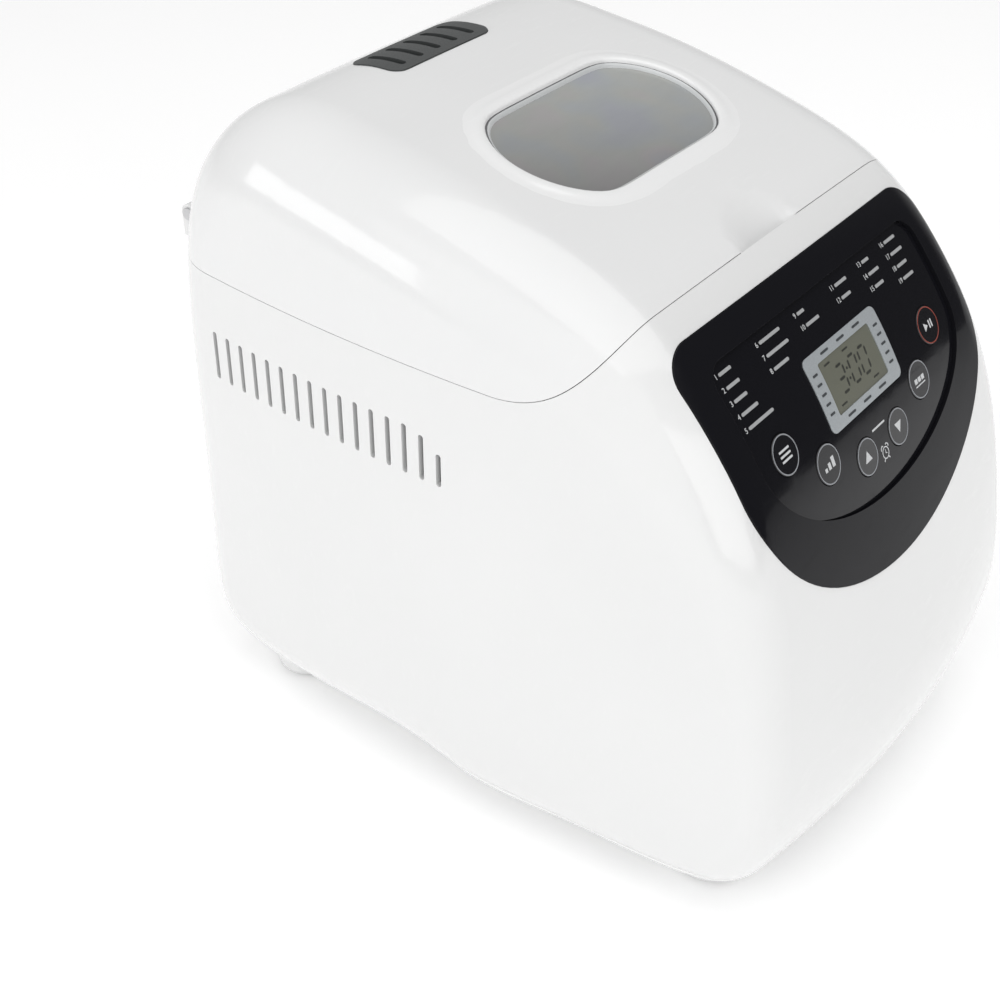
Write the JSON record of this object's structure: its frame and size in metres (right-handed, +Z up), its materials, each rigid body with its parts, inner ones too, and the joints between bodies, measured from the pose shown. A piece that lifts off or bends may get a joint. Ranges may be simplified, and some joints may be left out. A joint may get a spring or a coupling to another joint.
{
  "type": "bread machine",
  "caption": "Countertop bread machine with a hinged windowed lid, a sloped control panel, a lift-out pan, a kneading blade and a belt drive.",
  "frame": {"origin": "centre of the bounding box at the level of the feet", "axes": "+Z up, -Y towards the user and the control panel, +X across the front"},
  "size_m": [0.24, 0.3258, 0.2893],
  "materials": {
    "casing_plastic": "glossy white moulded plastic",
    "lid_plastic": "glossy white moulded plastic",
    "panel_gloss": "gloss black",
    "film_gloss": "gloss black film",
    "button_gloss": "gloss black",
    "bezel_silver": "satin silver paint",
    "display_lcd": "liquid crystal display",
    "vent_grey": "dark grey",
    "window_glass": "tinted",
    "liner_glass": "clear",
    "black_rubber": "matt",
    "silicone": "matt silicone",
    "steel": "brushed",
    "zinc_steel": "zinc plated",
    "chamber_steel": "grey coated steel",
    "element_metal": "dark oxidised sheath",
    "ceramic": "ceramic",
    "pan_coating": "dark non-stick coating on aluminium",
    "cast_metal": "die cast",
    "pulley_plastic": "natural nylon",
    "belt_rubber": "matt",
    "motor_metal": "plated can",
    "brass": "sintered bronze",
    "board_green": "circuit board",
    "component_black": "matt"
  },
  "bodies": {
    "housing": {"body_shell": "casing_plastic", "base_tray": "casing_plastic", "foot_pads": "black_rubber", "top_deck": "casing_plastic", "hinge_brackets": "vent_grey", "hinge_pins": "steel", "panel_frame": "panel_gloss", "panel_film": "film_gloss", "display_bezel": "bezel_silver", "display": "display_lcd", "button_switches": "component_black", "control_board": "board_green", "board_standoffs": "pulley_plastic", "board_screws": "zinc_steel", "oven_chamber": "chamber_steel", "heating_element": "element_metal", "element_bushes": "ceramic", "element_clips": "zinc_steel", "temperature_sensor": "steel", "pan_socket": "cast_metal", "drive_belt": "belt_rubber", "motor": "motor_metal", "motor_plate": "zinc_steel", "bearing_housing": "cast_metal", "plate_posts": "zinc_steel", "base_screws": "zinc_steel", "post_nuts": "zinc_steel", "power_board": "board_green", "power_parts": "component_black", "board_bracket": "zinc_steel", "cord_gland": "vent_grey"},
    "lid": {"lid_shell": "lid_plastic", "window_trim": "lid_plastic", "window_gasket": "vent_grey", "window_glass": "window_glass", "vent_grille": "vent_grey", "lid_liner": "steel", "liner_glass": "liner_glass", "lid_seal": "silicone", "lid_screws": "zinc_steel"},
    "pan": {"bread_pan": "pan_coating", "pan_bearing": "brass"},
    "bail": {"pan_handle": "steel"},
    "kneader": {"pan_shaft": "cast_metal", "kneading_blade": "pan_coating"},
    "drive": {"drive_shaft": "steel", "large_pulley": "pulley_plastic"},
    "rotor": {"motor_shaft": "steel", "motor_pulley": "pulley_plastic"},
    "button_menu": {"button_menu": "button_gloss"},
    "button_weight": {"button_weight": "button_gloss"},
    "button_up": {"button_up": "button_gloss"},
    "button_down": {"button_down": "button_gloss"},
    "button_colour": {"button_colour": "button_gloss"},
    "button_start": {"button_start": "button_gloss"}
  },
  "joints": [
    {"name": "lid_hinge", "type": "hinge", "parent": "housing", "child": "lid", "pos_m": [0, 0.15865, 0.222], "axis": [-1, 0, 0], "range_deg": [0, 95]},
    {"name": "pan_lift", "type": "slide", "parent": "housing", "child": "pan", "axis": [0, 0, 1], "range_m": [0, 0.05]},
    {"name": "handle_fold", "type": "hinge", "parent": "pan", "child": "bail", "pos_m": [0, 0.03365, 0.172], "axis": [1, 0, 0], "range_deg": [0, 180]},
    {"name": "kneader_spin", "type": "hinge", "parent": "pan", "child": "kneader", "pos_m": [0, 0.03365, 0.07], "axis": [0, 0, 1], "continuous": true},
    {"name": "drive_spin", "type": "hinge", "parent": "housing", "child": "drive", "pos_m": [0, 0.03365, 0.03], "axis": [0, 0, 1], "continuous": true},
    {"name": "motor_spin", "type": "hinge", "parent": "housing", "child": "rotor", "pos_m": [0, -0.09435, 0.03], "axis": [0, 0, 1], "continuous": true},
    {"name": "button_menu_press", "type": "slide", "parent": "housing", "child": "button_menu", "axis": [0, 0.8557, -0.5174], "range_m": [0, 0.0008], "stiffness_N_per_m": 1500},
    {"name": "button_weight_press", "type": "slide", "parent": "housing", "child": "button_weight", "axis": [0, 0.8963, -0.4435], "range_m": [0, 0.0008], "stiffness_N_per_m": 1500},
    {"name": "button_up_press", "type": "slide", "parent": "housing", "child": "button_up", "axis": [0, 0.9159, -0.4013], "range_m": [0, 0.0008], "stiffness_N_per_m": 1500},
    {"name": "button_down_press", "type": "slide", "parent": "housing", "child": "button_down", "axis": [0, 0.9152, -0.4029], "range_m": [0, 0.0008], "stiffness_N_per_m": 1500},
    {"name": "button_colour_press", "type": "slide", "parent": "housing", "child": "button_colour", "axis": [0, 0.8963, -0.4435], "range_m": [0, 0.0008], "stiffness_N_per_m": 1500},
    {"name": "button_start_press", "type": "slide", "parent": "housing", "child": "button_start", "axis": [0, 0.8546, -0.5193], "range_m": [0, 0.0008], "stiffness_N_per_m": 1500}
  ],
  "couplings": [
    {"joint": "kneader_spin", "follows": "drive_spin", "ratio": 1},
    {"joint": "motor_spin", "follows": "drive_spin", "ratio": 4.3929}
  ]
}
